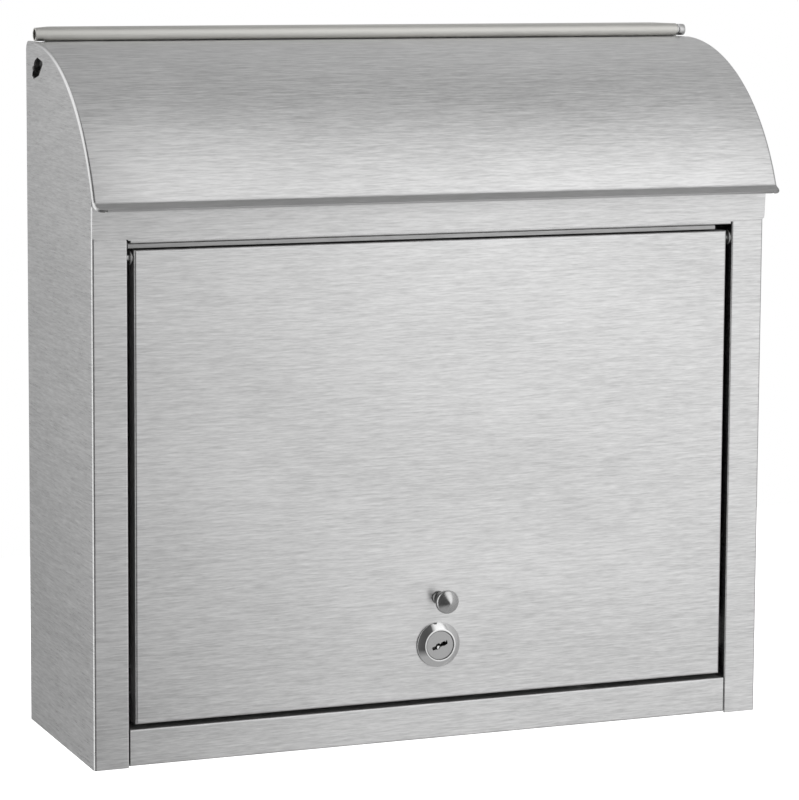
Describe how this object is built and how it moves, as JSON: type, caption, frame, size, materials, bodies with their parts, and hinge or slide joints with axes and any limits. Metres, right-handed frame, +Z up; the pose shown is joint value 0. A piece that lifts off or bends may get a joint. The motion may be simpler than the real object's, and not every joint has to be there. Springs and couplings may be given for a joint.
{
  "type": "wall mounted mailbox",
  "caption": "Wall letter box in brushed stainless sheet: curved hinged lid over a mail slot, top-hung front door with knob and cam lock.",
  "frame": {"origin": "centre of the rectangle of wall screw holes, on the back face that meets the wall", "axes": "+X along the box's width to the right as seen from the street side, +Y into the wall, +Z up; the door and lid face -Y"},
  "size_m": [0.385, 0.1373, 0.3763],
  "materials": {
    "brushed_sheet": "horizontal brushed stainless sheet",
    "hinge_steel": "plain rolled steel strip, slightly warm grey",
    "hinge_rod_steel": "drawn steel rod",
    "washer_steel": "plain steel washer",
    "turned_steel": "fine turned satin steel",
    "plated_fixing": "bright zinc plated",
    "polished_lock": "polished plated rim",
    "plug_steel": "matt plated key plug",
    "black_rubber": "matt black rubber"
  },
  "bodies": {
    "box": {"left_side_panel": "brushed_sheet", "right_side_panel": "brushed_sheet", "back_panel": "brushed_sheet", "hinge_strip": "hinge_steel", "bottom_panel": "brushed_sheet", "top_rail": "brushed_sheet", "door_gap_strip": "brushed_sheet", "lid_bumpers": "black_rubber", "door_pivot_pins": "hinge_rod_steel", "door_pivot_washers": "washer_steel", "door_pivot_clips": "washer_steel", "door_stop_tabs": "brushed_sheet", "door_stop_pads": "black_rubber"},
    "lid": {"lid_shell": "brushed_sheet", "lid_hinge_rod": "hinge_rod_steel", "left_lid_ear": "brushed_sheet", "right_lid_ear": "brushed_sheet", "lid_stop_pins": "hinge_rod_steel"},
    "door": {"door_panel": "brushed_sheet", "knob": "turned_steel", "knob_screw": "plated_fixing", "knob_washer": "plated_fixing", "lock_body": "polished_lock", "lock_washer": "plated_fixing", "lock_nut": "plated_fixing"},
    "lock_cylinder": {"lock_plug": "plug_steel", "lock_cam": "plated_fixing", "cam_screw": "plated_fixing", "cam_washer": "plated_fixing"}
  },
  "joints": [
    {"name": "lid_hinge", "type": "hinge", "parent": "box", "child": "lid", "pos_m": [0, -0.02, 0.19285], "axis": [-1, 0, 0], "range_deg": [0, 42]},
    {"name": "door_hinge", "type": "hinge", "parent": "box", "child": "door", "pos_m": [0, -0.1158, 0.0836], "axis": [-1, 0, 0], "range_deg": [0, 95]},
    {"name": "lock_turn", "type": "hinge", "parent": "door", "child": "lock_cylinder", "pos_m": [0, -0.11, -0.1282], "axis": [0, 1, 0], "range_deg": [0, 90]}
  ]
}
